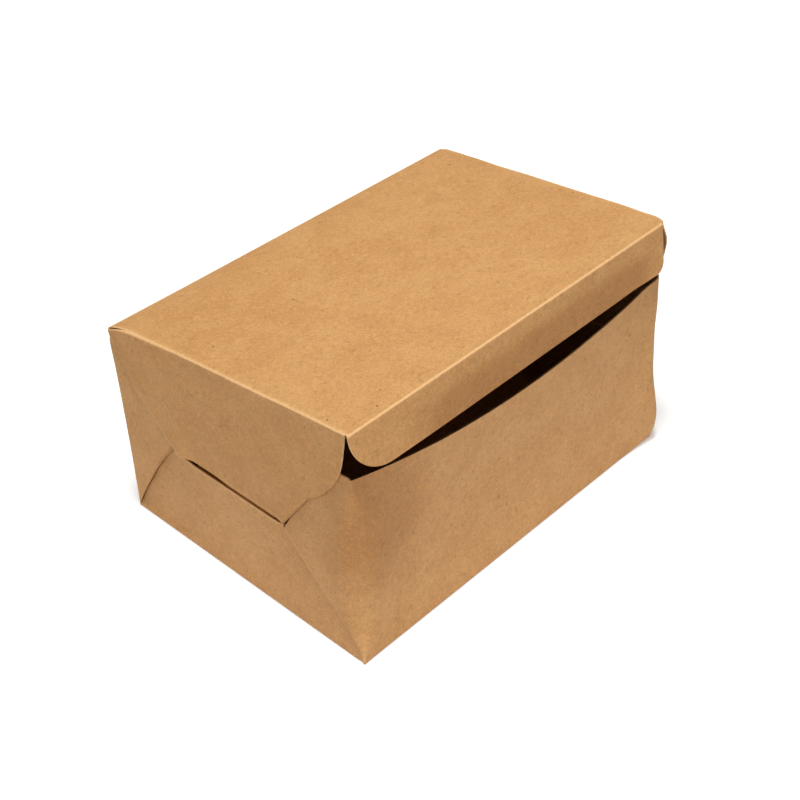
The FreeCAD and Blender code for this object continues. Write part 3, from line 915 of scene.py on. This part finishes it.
def build_front_flap(card):
    """Flap along the lid's front fold: a well rounded left corner and a tight right one."""
    xs = front_flap_columns()
    rows, wear_and_painted_light = [], []
    for turn in steps(0, 1, 8):
        angle = turn * math.pi / 2
        u, w = FRONT_SEAM + FOLD * math.sin(angle), FOLD_MIDDLE - FOLD * math.cos(angle)
        rows.append([lid_point(x, u, w - crown(x, FRONT_SEAM)) for x in xs])
        # Painted highlight, partly rubbing, along the fold's round.
        wear_and_painted_light.append([1 - (0.9 if turn < 0.5 else 1.4) * abs(turn - 0.5)] * len(xs))
    for part in steps(0, 1, 22)[1:]:
        rows.append([front_flap_point(x, part) for x in xs])
        wear_and_painted_light.append([front_flap_painted_light_and_wear(x, part) for x in xs])
    card.patch(rows, LID_MIDDLE, wear_and_painted_light)


flap_card = Card("front_flap_card")
build_front_flap(flap_card)
flap_piece = flap_card.finish(LID_SHEETS)


def build_back_fold(card):
    """The crease between the back wall and the lid, a smooth curve from one to the other."""
    end_power = 30  # how suddenly the crease widens or narrows at its very ends
    rows, wear_and_painted_light = [], []
    for part in steps(0, 1, 10):
        row = []
        for across in steps(-1, 1, 60):
            at_lid = across * (LID_HALF - 0.1 - 1.4 * max(0.0, across) ** end_power)
            at_wall = across * (RIGHT - 0.2 + 1.1 * max(0.0, -across) ** end_power)
            start = Vector((at_wall, BACK + back_bulge(at_wall, WALL_TOP), WALL_TOP))
            over_start = Vector((at_wall, BACK + back_bulge(at_wall, BACK_TOP), BACK_TOP + 0.35))
            behind_stop = lid_point(at_lid, -0.25, -CARD - crown(at_lid, 0))
            stop = lid_point(at_lid, BACK_SEAM, -CARD - crown(at_lid, BACK_SEAM))
            ends = start, over_start, behind_stop, stop
            while len(ends) > 1:
                ends = [a.lerp(b, part) for a, b in zip(ends, ends[1:])]
            row.append(ends[0])
        rows.append(row)
        # Painted highlight, partly rubbing, along the middle of the crease.
        wear_and_painted_light.append([0.9 * hump(part)] * len(row))
    card.patch(rows, TRAY_MIDDLE, wear_and_painted_light)


fold_card = Card("back_fold_card")
build_back_fold(fold_card)
fold_piece = fold_card.finish(LID_SHEETS)

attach(tray_piece, "tray")
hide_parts("tray")
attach(lid_piece, "lid")
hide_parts("lid")
seam = settle(lid_point(0, FRONT_SEAM, -CARD)) * MM
past = settle(lid_point(0, FRONT_SEAM + FOLD, FOLD_MIDDLE)) * MM
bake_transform(flap_piece)
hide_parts("front_flap")
wall_top = settle(Vector((0, BACK, WALL_TOP))) * MM
lid_back = settle(lid_point(0, BACK_SEAM, -CARD)) * MM
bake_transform(fold_piece)

# ---------------------------------------------------------------- floor, light and camera


def looked_at(tree):
    """1 where a ray comes from the camera, straight, mirrored or through glass."""
    seen = tree.nodes.new("ShaderNodeLightPath").outputs
    straight_on = math_node(tree, "ADD", seen["Is Camera Ray"], seen["Is Glossy Ray"], True)
    return math_node(tree, "ADD", straight_on, seen["Is Transmission Ray"], True)


def camera_sees(tree, first, second):
    """The second shader where looked_at is 1, and the first for all other light."""
    return add(tree, "ShaderNodeMixShader", None, {0: looked_at(tree), 1: first, 2: second}).outputs[0]


def add_floor():
    """A pale floor. It glows for the camera alone, more with distance, so that it ends in plain white."""
    data = bpy.data.meshes.new("floor")
    half = 3.0
    corners = [(-half, -half, 0), (half, -half, 0), (half, half, 0), (-half, half, 0)]
    data.from_pydata(corners, [], [(0, 1, 2, 3)])
    floor = bpy.data.objects.new("floor", data)
    bpy.context.scene.collection.objects.link(floor)
    floor.location.z = -0.1 * MM  # just clear of the box's underside
    material = bpy.data.materials.new("pale_floor")
    material.use_nodes = True
    tree = material.node_tree
    tree.nodes.clear()
    plain = add(tree, "ShaderNodeBsdfDiffuse", None, {"Color": (0.9, 0.9, 0.9, 1)})
    place = tree.nodes.new("ShaderNodeTexCoord").outputs["Object"]
    away = add(tree, "ShaderNodeVectorMath", {"operation": "LENGTH"}, {0: place}).outputs["Value"]
    beside, beyond = 0.11, 0.40  # metres from the middle
    strength = band(tree, away, beside, beyond, 0.39, 1.20)
    glow = add(tree, "ShaderNodeEmission", None, {"Color": (1, 1, 1, 1), "Strength": strength})
    both = add(tree, "ShaderNodeAddShader", None, {0: plain.outputs[0], 1: glow.outputs[0]})
    shown = camera_sees(tree, plain.outputs[0], both.outputs[0])
    out = tree.nodes.new("ShaderNodeOutputMaterial")
    tree.links.new(shown, out.inputs["Surface"])
    data.materials.append(material)


def add_lamp(name, place, size, watts, target=(0, 0, 0.04), colour=(1, 1, 1)):
    """A round soft lamp, aimed at the target. Places and size are in metres."""
    lamp = bpy.data.lights.new(name, "AREA")
    lamp.shape = "DISK"
    lamp.size = size
    lamp.energy = watts
    lamp.color = colour
    holder = bpy.data.objects.new(name, lamp)
    bpy.context.scene.collection.objects.link(holder)
    holder.location = place
    holder.rotation_euler = (Vector(place) - Vector(target)).to_track_quat("Z", "Y").to_euler()


def add_world():
    """A dim warm surround, which the camera sees as white."""
    world = bpy.data.worlds.new("studio")
    world.use_nodes = True
    tree = world.node_tree
    tree.nodes.clear()
    soft = add(tree, "ShaderNodeBackground", None, {"Color": (1, 0.95, 0.9, 1), "Strength": 0.06})
    white = add(tree, "ShaderNodeBackground", None, {"Color": (1, 1, 1, 1), "Strength": 1.0})
    shown = camera_sees(tree, soft.outputs[0], white.outputs[0])
    out = tree.nodes.new("ShaderNodeOutputWorld")
    tree.links.new(shown, out.inputs["Surface"])
    bpy.context.scene.world = world


def add_camera():
    """The camera, given by its place in metres, how far it turns and dips, and a slight roll."""
    place = Vector((-0.30614, -0.29694, 0.37213))
    turn, dip, roll = math.radians(44.165), math.radians(38.643), math.radians(-0.892)
    ahead = Vector((math.cos(turn) * math.cos(dip), math.sin(turn) * math.cos(dip), -math.sin(dip)))
    side = ahead.cross(Vector((0, 0, 1))).normalized()
    up = side.cross(ahead)
    side, up = side * math.cos(roll) + up * math.sin(roll), up * math.cos(roll) - side * math.sin(roll)
    data = bpy.data.cameras.new("camera")
    data.sensor_width = 36
    data.lens = 71.93
    data.clip_start = 0.01
    camera = bpy.data.objects.new("camera", data)
    bpy.context.scene.collection.objects.link(camera)
    axes = [(side[i], up[i], -ahead[i], place[i]) for i in range(3)]
    camera.matrix_world = Matrix(axes + [(0, 0, 0, 1)])
    bpy.context.scene.camera = camera


WARM = (1.0, 0.94, 0.86)
add_floor()
add_world()
add_lamp("overhead", (-0.14, -0.09, 1.2), size=0.3, watts=12.2)
add_lamp("low_left", (-0.9, -0.1, 0.12), size=0.5, watts=0.75, colour=WARM)
add_lamp("low_front", (-0.3, -0.85, 0.12), size=0.4, watts=1.85, colour=WARM)
add_camera()
bpy.context.scene.view_settings.view_transform = "Standard"

bpy.context.view_layer.update()
